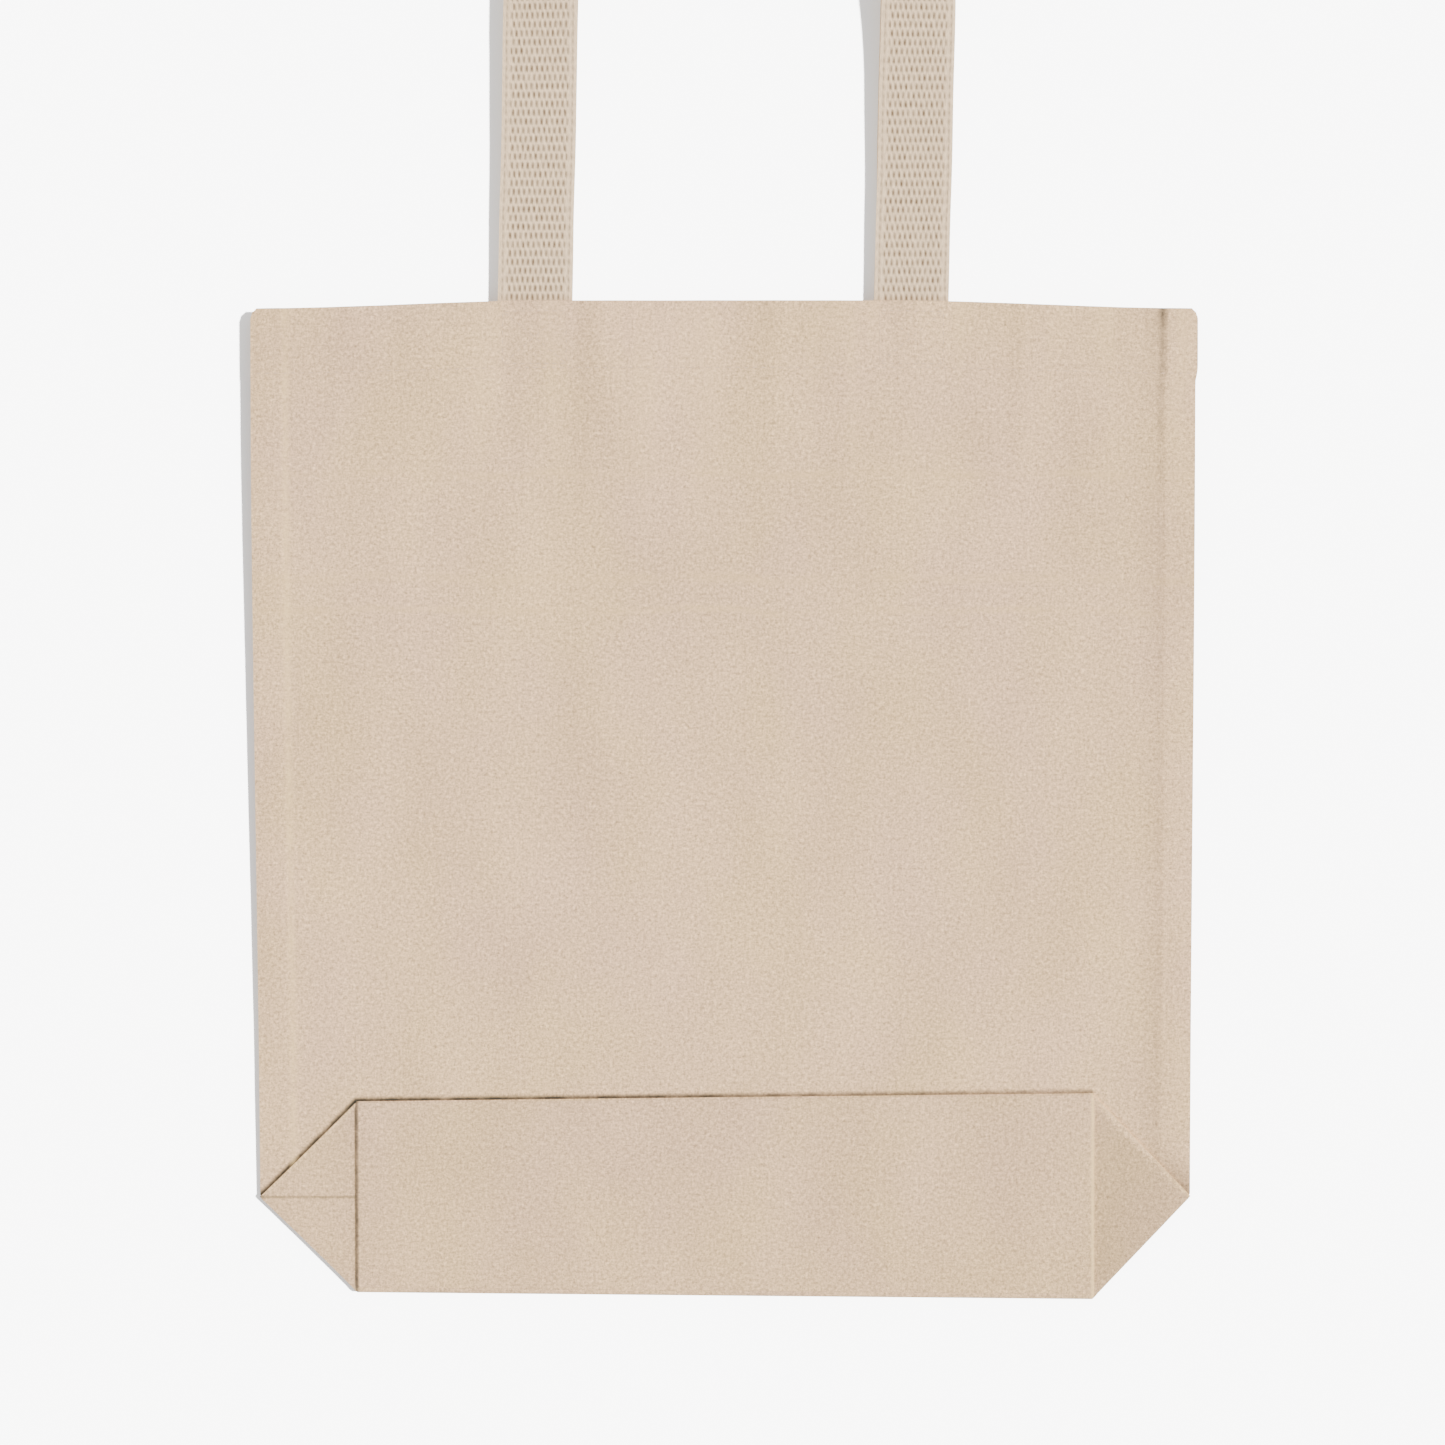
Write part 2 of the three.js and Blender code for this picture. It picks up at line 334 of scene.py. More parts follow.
def add_flecks(tree, uv, colour, base):
    """Small bits of seed husk, dark, and loose fibre knots, pale, scattered over the cloth."""
    for scale, limit, tint, offset in (
        (420, 0.115, (0.40, 0.30, 0.21), (0, 0, 0)),
        (230, 0.075, (0.36, 0.26, 0.17), (4, 9, 0)),
        (350, 0.12, shade(base, 1.14), (8, 3, 0)),
    ):
        cells = tree.nodes.new("ShaderNodeTexVoronoi")
        cells.feature = "F1"
        cells.inputs["Scale"].default_value = scale
        cells.inputs["Randomness"].default_value = 1.0
        stretched = scaled_vector(tree, uv, (1.0, 0.7, 1), offset)
        tree.links.new(stretched, cells.inputs["Vector"])
        near = remap(tree, cells.outputs["Distance"], limit, limit * 2.2, 1, 0)
        chosen = tree.nodes.new("ShaderNodeSeparateColor")
        tree.links.new(cells.outputs["Color"], chosen.inputs[0])
        rare = math_node(tree, "GREATER_THAN", chosen.outputs[0], FLECK_SHARE)
        colour = mix_colour(tree, product(tree, near, rare, FLECK_STRENGTH), colour, tint)
    return colour


def cloth_places(tree, uv):
    """Which piece, side and distance each spot of the cloth has, for the painted shade and
    highlight lines and the old fold lines.
    """
    split = tree.nodes.new("ShaderNodeSeparateXYZ")
    tree.links.new(uv, split.inputs[0])
    u, v = split.outputs[0], split.outputs[1]
    waver = noise_node(tree, scaled_vector(tree, uv, (1, 1, 1), (1, 4, 0)), 120, 2.0, 0.6)
    out = math_node(tree, "SUBTRACT", math_node(tree, "ABSOLUTE", u), WALL_X)
    from_fold = remap(tree, v, LOWEST_FOLD_V - 0.005, LOWEST_FOLD_V - 0.004, 0, 1)
    to_edge = remap(tree, v, EDGE_FOLD_V + 0.04, EDGE_FOLD_V + 0.05, 1, 0)
    from_crease = remap(tree, v, FRONT_V - 0.01, FRONT_V - 0.005, 0, 1)
    to_hem = remap(tree, v, FRONT_V + 0.5, FRONT_V + 0.6, 1, 0)
    return SimpleNamespace(
        u=u, v=v, waver=waver, out=out,
        uneven=remap(tree, waver, 0.3, 0.7, 0.75, 1.1),
        left=remap(tree, u, 0, 1 * MM, 1, 0),
        right=remap(tree, u, -1 * MM, 0, 0, 1),
        on_base=product(tree, from_fold, to_edge),
        on_front=product(tree, from_crease, to_hem),
        beyond_wall=remap(tree, out, -0.1 * MM, 0.1 * MM, 0, 1),
        base_y=math_node(tree, "ADD", v, LOW_TURN - BASE_V),
        front_y=math_node(tree, "ADD", v, HALF_DEPTH + CREASE_TURN - FRONT_V),
    )


def add_press_marks(tree, uv, at, colour, base):
    """Faint yellowed lines across the front where the cloth was once folded over."""
    waver = noise_node(tree, scaled_vector(tree, uv, (1, 0.1, 1)), 26, 2.0, 0.5)
    shift = product(tree, math_node(tree, "SUBTRACT", waver, 0.5), 9 * MM)
    along = math_node(tree, "ADD", at.v, shift)
    broken = noise_node(tree, scaled_vector(tree, uv, (1, 0.6, 1), (2, 5, 0)), 34, 3.0, 0.6)
    presence = remap(tree, broken, 0.42, 0.62, 0.25, 1)
    yellow = (base[0] * 1.03, base[1] * 1.035, base[2] * 0.88)
    for below_mouth, half_width, strength in PRESS_LINES:
        gap = distance(tree, along, FRONT_V + FRONT_RUN - below_mouth)
        band = remap(tree, gap, 0.2 * half_width, half_width, 1, 0)
        colour = mix_colour(tree, product(tree, band, presence, strength), colour, yellow)
    return colour


def add_base_painted_light(tree, at, colour, pale):
    """On the base: painted shade and highlight over the wall folds, the short seam and the
    slanted edges, with painted shade over the right flap and the whole base.
    """
    wall = remap(tree, math_node(tree, "ABSOLUTE", at.out), 0.35 * MM, 1.15 * MM, 1, 0)
    seam = remap(tree, distance(tree, at.base_y, HALF_DEPTH), 0.2 * MM, 0.95 * MM, 1, 0)
    seam = product(tree, seam, at.beyond_wall)
    to_edge = math_node(tree, "SUBTRACT", BASE_DEPTH, at.base_y)
    inside = math_node(tree, "SUBTRACT", to_edge, at.out)
    rim = product(tree, remap(tree, inside, 0.2 * MM, 1.6 * MM, 1, 0), at.beyond_wall)
    corner_shade = remap(tree, at.out, -1 * MM, 1.5 * MM, 0, 0.22)
    for tint, weights in (
        # Painted shade over the right flap, which is turned from the light
        (PAINTED_SHADE, (corner_shade, at.right)),
        # Painted shade over the whole base
        (PAINTED_SHADE, (0.07,)),
        # Painted shade on the left wall fold, painted highlight on the right one
        (PAINTED_SHADE, (wall, at.left, at.uneven, 0.8)),
        (pale, (wall, wall, at.right, at.uneven, 0.7)),
        # Painted shade in the open seam groove, on the left only
        (OLIVE_SEAM_SHADE, (seam, at.left, at.uneven, 0.62)),
        # Painted shade along the left slanted edges, painted highlight along the right ones
        (PAINTED_SHADE, (rim, at.left, 0.45)),
        (pale, (rim, at.right, at.uneven, 0.8)),
    ):
        colour = mix_colour(tree, product(tree, at.on_base, *weights), colour, tint)
    return colour


def add_front_painted_light(tree, at, colour, pale):
    """On the front: painted shadow just past the folded base, painted shade near the right
    flap's tip, and painted shade and highlight beside the side seams beneath.
    """
    past = math_node(tree, "SUBTRACT", at.front_y, BASE_DEPTH)
    slanted = product(tree, math_node(tree, "ADD", past, at.out), math.sqrt(0.5))
    contour = math_node(tree, "MAXIMUM", past, slanted)
    # Painted shadow of the folded base's edge on the front, in the crevice just past it
    crevice = remap(tree, contour, 0.9 * MM, 2.3 * MM, 1, 0)
    crevice = product(tree, crevice, remap(tree, contour, -2.5 * MM, -1 * MM, 0, 1))
    straight = remap(tree, at.out, 0, 0.6 * MM, 1, 0)
    fading = product(tree, straight, remap(tree, at.u, -WALL_X, WALL_X, 0.95, 0.6))
    weight = math_node(tree, "MAXIMUM", fading, product(tree, at.left, 0.95))
    # Painted shade on the front near the tip of the right flap
    tip = remap(tree, slanted, 0, 9 * MM, 1, 0)
    tip = product(tree, tip, remap(tree, at.out, 22 * MM, 39 * MM, 0, 1))
    tip = product(tree, tip, remap(tree, slanted, -3 * MM, -1 * MM, 0, 1))
    # Painted shade along the right seam allowance ridge, strongest near the mouth, and painted
    # highlight along the left one
    from_ridge = math_node(tree, "ABSOLUTE", at.u)
    from_ridge = math_node(tree, "SUBTRACT", from_ridge, ALLOWANCE_X - 0.4 * MM)
    ridge = remap(tree, math_node(tree, "ABSOLUTE", from_ridge), 0.2 * MM, 2.4 * MM, 1, 0)
    ridge = product(tree, ridge, remap(tree, at.waver, 0.3, 0.7, 0.3, 1.3))
    rising = remap(tree, at.front_y, BAG_HEIGHT - 70 * MM, BAG_HEIGHT - 4 * MM, 0.16, 0.62)
    at_mouth = remap(tree, at.front_y, BAG_HEIGHT - 9 * MM, BAG_HEIGHT, 0, 0.25)
    # Broad painted shade beside the right ridge
    broad = distance(tree, from_ridge, -3 * MM)
    broad = remap(tree, broad, 0, 6 * MM, 0.10, 0)
    for tint, weights in (
        (PAINTED_SHADE, (crevice, weight, at.uneven, 1.05)),
        (PAINTED_SHADE, (tip, at.right, 0.55)),
        (PAINTED_SHADE, (ridge, at.right, math_node(tree, "ADD", rising, at_mouth))),
        (PAINTED_SHADE, (broad, at.right)),
        (pale, (ridge, at.left, 0.4)),
    ):
        colour = mix_colour(tree, product(tree, at.on_front, *weights), colour, tint)
    return colour


def add_mouth_pull_shading(tree, uv, at, colour, pale):
    """Painted light and shade of soft pulls that hang down from the mouth."""
    streaks = noise_node(tree, scaled_vector(tree, uv, (1, 0.1, 1), (6, 3, 0)), 75, 2.0, 0.5)
    high = remap(tree, at.front_y, BAG_HEIGHT - 110 * MM, BAG_HEIGHT - 15 * MM, 0, 1)
    for tint, streak in (
        (pale, remap(tree, streaks, 0.54, 0.7, 0, 0.2)),
        (PAINTED_SHADE, remap(tree, streaks, 0.32, 0.46, 0.10, 0)),
    ):
        colour = mix_colour(tree, product(tree, streak, high, at.on_front), colour, tint)
    return colour


def canvas_material():
    material, tree, shader = new_material("undyed_canvas")
    base = tuple(colours().canvas)
    # Painted highlight colour, for ridges and folds turned towards the light and the lit side
    # of pulls
    pale = (min(1.0, base[0] * 1.35), base[1] * 1.4, base[2] * 1.15)
    uv = cloth_map(tree)
    at = cloth_places(tree, uv)
    grain = canvas_grain(tree, uv)
    colour = canvas_tone(tree, uv, grain, base)
    colour = add_flecks(tree, uv, colour, base)
    colour = add_press_marks(tree, uv, at, colour, base)
    colour = add_base_painted_light(tree, at, colour, pale)
    colour = add_front_painted_light(tree, at, colour, pale)
    colour = add_mouth_pull_shading(tree, uv, at, colour, pale)
    tree.links.new(colour, shader.inputs["Base Color"])
    set_finish(shader, Roughness=0.93, Specular_IOR_Level=0.18)
    set_finish(shader, Sheen_Weight=0.08, Sheen_Roughness=0.6)
    add_bump(tree, shader, grain, 0.9, 0.2 * MM)
    return material


# ---- Webbing, thread and floor ----

def webbing_material():
    material, tree, shader = new_material("ribbed_webbing")
    base = tuple(colours().webbing)
    uv = cloth_map(tree)
    attribute = tree.nodes.new("ShaderNodeAttribute")
    attribute.attribute_name = "rib_gap"
    gap = attribute.outputs["Fac"]
    fibres = noise_node(tree, scaled_vector(tree, uv, (1, 0.25, 1)), 1500, 3.0, 0.6)
    share = remap(tree, fibres, 0.35, 0.65, 0.1, 1)
    fibred = mix_colour(tree, share, shade(base, 0.98), shade(base, 1.45))
    # Painted shade in the sunken gaps between the ribs and along the dashed line near each
    # selvage
    gap_shaded = mix_colour(tree, product(tree, gap, 0.96), fibred, (0.13, 0.088, 0.052))
    tree.links.new(gap_shaded, shader.inputs["Base Color"])
    set_finish(shader, Roughness=0.9, Specular_IOR_Level=0.2)
    set_finish(shader, Sheen_Weight=0.1, Sheen_Roughness=0.5)
    add_bump(tree, shader, fibres, 0.8, 0.2 * MM)
    return material


def thread_material():
    material, tree, shader = new_material("sewing_thread")
    base = tuple(colours().thread)
    coordinates = tree.nodes.new("ShaderNodeTexCoord")
    fibres = noise_node(tree, coordinates.outputs["Object"], 2600, 2.0, 0.6)
    share = remap(tree, fibres, 0.35, 0.65, 0, 1)
    colour = mix_colour(tree, share, shade(base, 0.86), shade(base, 1.08))
    tree.links.new(colour, shader.inputs["Base Color"])
    set_finish(shader, Roughness=0.8)
    add_bump(tree, shader, fibres, 0.6, 0.06 * MM)
    return material


def floor_material():
    material, tree, shader = new_material("pale_floor")
    base = tuple(colours().floor)
    coordinates = tree.nodes.new("ShaderNodeTexCoord")
    drift = noise_node(tree, coordinates.outputs["Object"], 1.5, 2.0, 0.5)
    colour = mix_colour(tree, drift, shade(base, 0.997), shade(base, 1.003))
    tree.links.new(colour, shader.inputs["Base Color"])
    set_finish(shader, Roughness=0.9, Specular_IOR_Level=0.1)
    return material


def shared_material(name):
    makers = {
        "undyed_canvas": canvas_material,
        "ribbed_webbing": webbing_material,
        "sewing_thread": thread_material,
        "pale_floor": floor_material,
    }
    return bpy.data.materials.get(name) or makers[name]()


# ---- The shape of the cloth ----

LEFT_NARROWING = 3.4 * MM
RIGHT_NARROWING = 1.6 * MM
CORNER_FLARE = 0.9 * MM
CORNER_ROUNDING = 3.0 * MM
MOUTH_CROWN = 3.2 * MM
LOWEST_TILT = -1.4 * MM
BASE_EDGE_TILT = 1.65 * MM
TILTED_SHARE = 0.2
BASE_LIFT = 0.7 * MM


def wrinkles(x, y, seed):
    """Soft unevenness of pressed cloth, with longer pulls running up and down."""
    broad = noise.noise(Vector((x * 16 + seed, y * 13, seed)))
    pulls = noise.noise(Vector((x * 45 + seed, y * 9, seed + 3)))
    fine = noise.noise(Vector((x * 70, y * 60 + seed, seed + 7)))
    return sizes().wrinkle * (broad + 0.45 * pulls + 0.22 * fine)


def front_relief(x, y):
    """What shows through the front from the layers beneath it."""
    edge = abs(x)
    below_mouth = BAG_HEIGHT - y
    allowance = 0.34 * MM * ramp(edge, ALLOWANCE_X + 0.4 * MM, ALLOWANCE_X + 1.7 * MM)
    hem = 0.22 * MM * (1 - ramp(below_mouth, HEM_DEPTH - 1.2 * MM, HEM_DEPTH + 0.6 * MM))
    from_strap = abs(edge - STRAP_X) - STRAP_WIDTH / 2
    strap = 0.3 * MM * (1 - ramp(from_strap, -0.8 * MM, 0.9 * MM))
    strap *= 1 - ramp(below_mouth, 24 * MM, 27 * MM)
    pulls = noise.noise(Vector((x * 75, y * 6, 11.0)))
    pulls *= 1 - ramp(below_mouth, 20 * MM, 120 * MM)
    return allowance + hem + strap + 0.42 * MM * pulls


def ear_relief(x, y):
    """How far the folded ear lifts the base above it."""
    inward = WALL_X - abs(x)
    if inward < -0.2 * MM:
        return 0.0
    from_middle = abs(y - HALF_DEPTH)
    inside = (HALF_DEPTH - from_middle - inward) / math.sqrt(2)
    return 0.55 * MM * ramp(inside, 0, 5 * MM)


def base_surface(x, y):
    """Height of the base and of the wall corners that lie flat beside it."""
    outward = abs(x) - WALL_X
    height = BASE_EDGE_Z + (BASE_Z - BASE_EDGE_Z) * (1 - ramp(y, 0, BASE_DEPTH))
    height += ear_relief(x, y)
    height -= 0.75 * MM * ramp(outward, -0.3 * MM, 0.7 * MM)
    if outward > 0:
        slack = min(y - outward, BASE_DEPTH - y - outward) / math.sqrt(2)
        height -= 0.7 * MM * (1 - ramp(slack, 0, 1.6 * MM)) ** 2
        seam = math.exp(-((y - HALF_DEPTH) / (0.5 * MM)) ** 2)
        height -= 0.3 * MM * seam * ramp(outward, 1 * MM, 4 * MM)
    return height


def settle(x, y, layer):
    """Small unevenness of the outline: narrower towards the base, with a crowned mouth."""
    up = y / BAG_HEIGHT
    narrow = LEFT_NARROWING if x < 0 else RIGHT_NARROWING
    narrow *= 1 - ramp(up, 0.0, 0.95)
    share = ramp(abs(x), 0.3 * WALL_X, 1.015 * HALF_WIDTH)
    new_x = x - math.copysign(narrow * share, x)
    if layer == "front" and x > 0:
        new_x += CORNER_FLARE * ramp(x, WALL_X, HALF_WIDTH) * ramp(up, 0.925, 0.94)
    into_corner = ramp(y, BAG_HEIGHT - 4 * MM, BAG_HEIGHT + 1 * MM)
    rounding = CORNER_ROUNDING * into_corner**2
    new_x -= math.copysign(rounding, x) * ramp(abs(x), HALF_WIDTH - 12 * MM, HALF_WIDTH)
    crown = MOUTH_CROWN * (1 - ramp(abs(x), 0.35 * HALF_WIDTH, HALF_WIDTH)) * ramp(up, 0.8, 1.0)
    if up < TILTED_SHARE:
        part = up / TILTED_SHARE
        tilt = LOWEST_TILT * (1 - part) + BASE_EDGE_TILT * part
    else:
        tilt = BASE_EDGE_TILT * (1 - ramp(up, TILTED_SHARE, 0.5))
    lift = BASE_LIFT * (1 - up)
    return new_x, y + crown + tilt * x / WALL_X + lift


def place_point(x, y, z, layer):
    new_x, new_y = settle(x, y, layer)
    return Vector((new_x, LOW_Y + new_y, z))


def back_shape(x, along):
    """Back panel from the end of its hem, over the mouth, down to the lowest fold."""
    hem = HEM_DEPTH - MOUTH_TURN
    radius = BACK_MOUTH_TURN
    turn = math.pi * radius
    if along < hem:
        return place_point(x, BAG_HEIGHT - HEM_DEPTH + along, BACK_HEM_Z, "back")
    if along < hem + turn:
        angle = (along - hem) / radius
        y = BAG_HEIGHT - radius + radius * math.sin(angle)
        return place_point(x, y, BACK_Z + radius + radius * math.cos(angle), "back")
    y = BAG_HEIGHT - radius - (along - hem - turn)
    return place_point(x, y, BACK_Z, "back")


def low_turn_shape(x, along):
    angle = along / LOW_TURN
    y = LOW_TURN - LOW_TURN * math.sin(angle)
    lift = base_surface(x, LOW_TURN) - BASE_Z
    z = BACK_Z + LOW_TURN - LOW_TURN * math.cos(angle) + lift * (angle / math.pi) ** 2
    over = max(0.0, abs(x) - WALL_X)
    x -= math.copysign(over * (1 - max(0.04, 1 - math.sin(angle))), x)
    return place_point(x, y, z, "base")


def base_shape(x, along):
    y = LOW_TURN + along
    free = 0.6 * ramp(min(y, BASE_DEPTH - y), 0, 12 * MM)
    z = base_surface(x, y) + wrinkles(x, y + 0.7, 5.0) * free
    return place_point(x, y, z, "base")


def edge_turn_shape(x, along):
    angle = along / EDGE_TURN
    y = BASE_DEPTH - EDGE_TURN + EDGE_TURN * math.sin(angle)
    lift = base_surface(x, BASE_DEPTH - EDGE_TURN) - BASE_EDGE_Z
    z = STRIP_Z + EDGE_TURN + EDGE_TURN * math.cos(angle) + lift * (1 - angle / math.pi) ** 2
    return place_point(x, y, z, "base")


def strip_shape(x, along):
    y = BASE_DEPTH - EDGE_TURN - along
    return place_point(x, y, STRIP_Z, "base")


def crease_shape(x, along):
    angle = along / CREASE_TURN
    y = HALF_DEPTH + CREASE_TURN - CREASE_TURN * math.sin(angle)
    z = CREASE_Z + CREASE_TURN + CREASE_TURN * math.cos(angle)
    return place_point(x, y, z, "base")


def front_height(x, y):
    plane = CREASE_Z + (y - HALF_DEPTH) * FRONT_SLOPE
    showing = ramp(y, BASE_DEPTH + 2 * MM, BASE_DEPTH + 20 * MM)
    edge_droop = 0.5 * MM * ramp(abs(x), HALF_WIDTH - 5 * MM, HALF_WIDTH)
    return plane + (wrinkles(x, y, 1.0) + front_relief(x, y)) * showing - edge_droop * showing


def front_shape(x, along):
    """Front panel from the lower crease, over the mouth, to the end of its hem."""
    turn = math.pi * MOUTH_TURN
    if along < FRONT_RUN:
        y = HALF_DEPTH + CREASE_TURN + along
        return place_point(x, y, front_height(x, y), "front")
    top_y = BAG_HEIGHT - MOUTH_TURN
    top_z = front_height(x, top_y)
    if along < FRONT_RUN + turn:
        angle = (along - FRONT_RUN) / MOUTH_TURN
        y = top_y + MOUTH_TURN * math.sin(angle)
        return place_point(x, y, top_z - MOUTH_TURN + MOUTH_TURN * math.cos(angle), "front")
    back_run = along - FRONT_RUN - turn
    y = top_y - back_run
    return place_point(x, y, top_z - HEM_DROP - back_run * FRONT_SLOPE, "front")


# ---- Making the cloth pieces ----

def add_cloth_map(bm, start):
    layer = bm.loops.layers.uv.new("cloth")
    for face in bm.faces:
        for loop in face.loops:
            loop[layer].uv = (loop.vert.co.x, start + loop.vert.co.y)


def bisect(bm, point, normal, clear=False):
    geometry = bm.verts[:] + bm.edges[:] + bm.faces[:]
    bmesh.ops.bisect_plane(
        bm, geom=geometry, dist=1e-7, plane_co=point, plane_no=normal, clear_outer=clear
    )


def flat_blank(left, right, length, step, across=(), along=()):
    """A flat grid of cloth from x = left to right and y = 0 to length, with extra lines."""
    bm = bmesh.new()
    columns = max(1, round((right - left) / step))
    rows = max(1, round(length / step))
    matrix = Matrix.Translation(((left + right) / 2, length / 2, 0))
    matrix = matrix @ Matrix.Diagonal(((right - left) / 2, length / 2, 1, 1))
    bmesh.ops.create_grid(bm, x_segments=columns, y_segments=rows, size=1, matrix=matrix)
    for x in across:
        if left < x < right:
            bisect(bm, (x, 0, 0), (1, 0, 0))
    for y in along:
        if 0 < y < length:
            bisect(bm, (0, y, 0), (0, 1, 0))
    return bm


def thicken(bm, thickness):
    """Gives the sheet its thickness, half to each side, and closes its edges."""
    bmesh.ops.recalc_face_normals(bm, faces=bm.faces[:])
    for vert in bm.verts:
        vert.normal_update()
    shift = [(vert, vert.normal * (thickness / 2)) for vert in bm.verts]
    for vert, offset in shift:
        vert.co += offset
    bmesh.ops.solidify(bm, geom=bm.faces[:], thickness=thickness)
    bmesh.ops.recalc_face_normals(bm, faces=bm.faces[:])


def mark_creases(bm, degrees=50):
    for face in bm.faces:
        face.smooth = True
    for edge in bm.edges:
        if len(edge.link_faces) == 2:
            edge.smooth = edge.calc_face_angle(0) < math.radians(degrees)


def finish_piece(name, bm, material):
    mesh = bpy.data.meshes.new(name)
    bm.to_mesh(mesh)
    bm.free()
    mesh.materials.append(shared_material(material))
    piece = bpy.data.objects.new(name, mesh)
    bpy.context.collection.objects.link(piece)
    return piece


def shape_cloth(name, bm, shape, start_v):
    """Lays a flat blank along its folded route and gives it thickness."""
    add_cloth_map(bm, start_v)
    for vert in bm.verts:
        vert.co = shape(vert.co.x, vert.co.y)
    thicken(bm, sizes().cloth)
    mark_creases(bm)
    return finish_piece(name, bm, "undyed_canvas")


def seam_lines(sign):
    offsets = (-1.5, -0.8, -0.3, 0.0, 0.3, 0.8, 1.5, 3.0)
    walls = [sign * (WALL_X + offset * MM) for offset in offsets]
    ridge = [sign * (ALLOWANCE_X + offset * MM) for offset in (0.2, 0.7, 1.2, 1.9)]
    edge = [sign * (HALF_WIDTH - offset * MM) for offset in (0.5, 1.2)]
    half_strap = [STRAP_WIDTH / 2 + offset * MM for offset in (-0.8, 0, 0.9)]
    strap = [sign * (STRAP_X + end * half) for end in (-1, 1) for half in half_strap]
    return walls + ridge + edge + strap


def cut_corner(bm, sign, start_y, slope):
    """Cuts a side corner off along a diagonal that starts at the wall line."""
    normal = Vector((sign, slope, 0)).normalized()
    bisect(bm, (sign * WALL_X, start_y, 0), normal, clear=True)


def cloth_half(name, sign, length, shape, start_v, along=(), cuts=()):
    left, right = (0, HALF_WIDTH) if sign > 0 else (-HALF_WIDTH, 0)
    bm = flat_blank(left, right, length, sizes().mesh_step, seam_lines(sign), along)
    for start_y, slope in cuts:
        cut_corner(bm, sign, start_y, slope)
    return shape_cloth(name, bm, shape, start_v)


def fold_roll(name, radius, shape, start_v, past_wall=0.0):
    length = math.pi * radius
    lines = [length * k / 12 for k in range(1, 12)]
    across = seam_lines(1) + seam_lines(-1)
    reach = WALL_X + past_wall
    bm = flat_blank(-reach, reach, length, sizes().mesh_step, across, lines)
    return shape_cloth(name, bm, shape, start_v)


def wall_line(sign, z):
    near = (sign * (WALL_X - 4 * MM), 0, z)
    far = (sign * (WALL_X + 4 * MM), 0, z)
    return near, far


class BAG_OT_body_cloth(bpy.types.Operator):
    """Make the body canvas: back, base, lower strip and front, with the turns between them"""

    bl_idname = "tote_bag.body_cloth"
    bl_label = "Body Cloth"

    def execute(self, context):
        turns = self.make_turns()
        for side, sign in SIDES.items():
            self.make_back(side, sign)
            self.make_base(side, sign, turns if sign > 0 else ())
            self.make_strip(side, sign)
            self.make_front(side, sign)
        return {"FINISHED"}

    def make_back(self, side, sign):
        hem = HEM_DEPTH - MOUTH_TURN
        turn = math.pi * BACK_MOUTH_TURN
        length = hem + turn + BAG_HEIGHT - BACK_MOUTH_TURN - LOW_TURN
        lines = [hem + turn * k / 6 for k in range(7)]
        cuts = [(length + LOW_TURN, 1)]
        piece = cloth_half(f"back_cloth_{side}", sign, length, back_shape, BACK_V, lines, cuts)
        nodes = (f"{side}_back_gusset", f"{side}_back_gusset_hem", "back_panel", "back_hem")
        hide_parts(*nodes)
        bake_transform(piece)

    def make_base(self, side, sign, turns):
        length = BASE_DEPTH - LOW_TURN - EDGE_TURN
        cuts = [(BASE_DEPTH - LOW_TURN, 1), (-LOW_TURN, -1)]
        lines = [HALF_DEPTH - LOW_TURN + o * MM for o in (-1, -0.5, 0, 0.5, 1)]
        piece = cloth_half(f"base_cloth_{side}", sign, length, base_shape, BASE_V, lines, cuts)
        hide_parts("base_panel", f"{side}_wall_corner")
        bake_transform(piece)

    def make_strip(self, side, sign):
        length = HALF_DEPTH - EDGE_TURN - CREASE_TURN
        cuts = [(-EDGE_TURN, -1)]
        name = f"lower_strip_cloth_{side}"
        piece = cloth_half(name, sign, length, strip_shape, STRIP_V, cuts=cuts)
        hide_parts("front_lower_strip", f"{side}_lower_strip_corner")
        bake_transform(piece)

    def make_front(self, side, sign):
        turn = math.pi * MOUTH_TURN
        length = FRONT_RUN + turn + HEM_DEPTH - MOUTH_TURN
        top = FRONT_RUN + MOUTH_TURN
        lines = [FRONT_RUN + turn * k / 6 for k in range(7)]
        lines += [top - HEM_DEPTH + o * MM for o in (-0.6, 0, 0.6, 1.2)]
        piece = cloth_half(f"front_cloth_{side}", sign, length, front_shape, FRONT_V, lines)
        nodes = (f"{side}_front_gusset", f"{side}_front_gusset_hem", "front_panel", "front_hem")
        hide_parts(*nodes)
        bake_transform(piece)

    def make_turns(self):
        low = fold_roll(
            "lowest_fold_cloth", LOW_TURN, low_turn_shape, LOWEST_FOLD_V, past_wall=LOW_TURN
        )
        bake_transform(low)
        edge = fold_roll("base_edge_fold_cloth", EDGE_TURN, edge_turn_shape, EDGE_FOLD_V)
        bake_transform(edge)
        crease = fold_roll("front_crease_cloth", CREASE_TURN, crease_shape, CREASE_V)
        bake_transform(crease)
        return low, edge, crease


# ---- Seams and folded ears inside the bag ----

EAR_Z = 4.2 * MM
EAR_THICKNESS = 0.7 * MM
ALLOWANCE_DROP = 0.75 * MM
ALLOWANCE_WIDTH = 13 * MM
ALLOWANCE_INSET = 1.2 * MM
OVERLOCK_PITCH = 2.2 * MM
OVERLOCK_LENGTH = 2.4 * MM
OVERLOCK_SLANT = 0.9
CORNER_SEAM_PITCH = 3.2 * MM
CORNER_SEAM_LENGTH = 2.2 * MM


def ear_shape(x, along):
    return place_point(x, along, EAR_Z, "base")


def allowance_shape(x, along):
    y = HALF_DEPTH + 1.5 * MM + along
    plane = CREASE_Z + (y - HALF_DEPTH) * FRONT_SLOPE
    return place_point(x, y, plane - ALLOWANCE_DROP, "inner")


